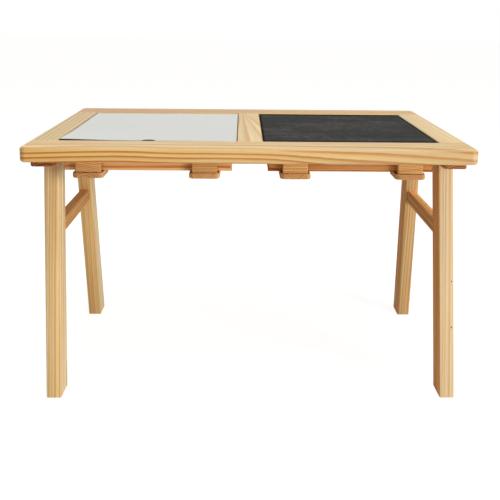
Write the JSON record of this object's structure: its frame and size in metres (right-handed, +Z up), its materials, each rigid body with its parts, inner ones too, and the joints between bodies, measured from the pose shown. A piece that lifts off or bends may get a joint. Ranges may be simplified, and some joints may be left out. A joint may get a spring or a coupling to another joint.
{
  "type": "children's activity table",
  "caption": "Low pine table on splayed legs, with a lift-out white board and chalkboard in its top and a shallow lift-out tray hung under each.",
  "frame": {"origin": "on the floor, under the middle of the table top", "axes": "+X along the table's length, to the right as seen from its front; +Y from its front to its back; +Z up"},
  "size_m": [0.83, 0.58, 0.506],
  "materials": {
    "pine": "pale pine under a thin clear satin lacquer",
    "under_pine": "orange-brown pine under a thin clear satin lacquer",
    "white_face": "white satin melamine face on thin brown hardboard",
    "chalk_face": "matt black chalkboard paint on thin brown hardboard",
    "hardboard": "bare brown hardboard",
    "steel": "zinc-plated screw"
  },
  "bodies": {
    "table": {"front_rail": "pine", "back_rail": "pine", "left_stile": "pine", "centre_stile": "pine", "right_stile": "pine", "white_board_left_ledge": "under_pine", "white_board_right_ledge": "under_pine", "chalkboard_left_ledge": "under_pine", "chalkboard_right_ledge": "under_pine", "front_hanger_block_1": "under_pine", "front_hanger_block_2": "under_pine", "front_hanger_block_3": "under_pine", "front_hanger_block_4": "under_pine", "back_hanger_block_1": "under_pine", "back_hanger_block_2": "under_pine", "back_hanger_block_3": "under_pine", "back_hanger_block_4": "under_pine", "front_hanger_plate_1": "under_pine", "front_hanger_plate_2": "under_pine", "front_hanger_plate_3": "under_pine", "front_hanger_plate_4": "under_pine", "back_hanger_plate_1": "under_pine", "back_hanger_plate_2": "under_pine", "back_hanger_plate_3": "under_pine", "back_hanger_plate_4": "under_pine", "front_hanger_screw_1": "steel", "front_hanger_screw_2": "steel", "front_hanger_screw_3": "steel", "front_hanger_screw_4": "steel", "back_hanger_screw_1": "steel", "back_hanger_screw_2": "steel", "back_hanger_screw_3": "steel", "back_hanger_screw_4": "steel", "left_batten": "under_pine", "left_front_leg": "pine", "left_back_leg": "pine", "left_stretcher": "under_pine", "left_batten_screw_1": "steel", "left_batten_screw_2": "steel", "left_batten_screw_3": "steel", "right_batten": "under_pine", "right_front_leg": "pine", "right_back_leg": "pine", "right_stretcher": "under_pine", "right_batten_screw_1": "steel", "right_batten_screw_2": "steel", "right_batten_screw_3": "steel"},
    "left_tray": {"left_tray_front_wall": "under_pine", "left_tray_back_wall": "under_pine", "left_tray_left_wall": "under_pine", "left_tray_right_wall": "under_pine", "left_tray_base": "hardboard"},
    "white_board": {"white_board": "white_face"},
    "right_tray": {"right_tray_front_wall": "under_pine", "right_tray_back_wall": "under_pine", "right_tray_left_wall": "under_pine", "right_tray_right_wall": "under_pine", "right_tray_base": "hardboard"},
    "chalkboard": {"chalkboard": "chalk_face"}
  },
  "joints": [
    {"name": "left_tray_lift", "type": "slide", "parent": "table", "child": "left_tray", "axis": [0, 0, 1], "range_m": [0, 0.12]},
    {"name": "white_board_lift", "type": "slide", "parent": "left_tray", "child": "white_board", "axis": [0, 0, 1], "range_m": [0, 0.1]},
    {"name": "right_tray_lift", "type": "slide", "parent": "table", "child": "right_tray", "axis": [0, 0, 1], "range_m": [0, 0.12]},
    {"name": "chalkboard_lift", "type": "slide", "parent": "right_tray", "child": "chalkboard", "axis": [0, 0, 1], "range_m": [0, 0.1]}
  ]
}
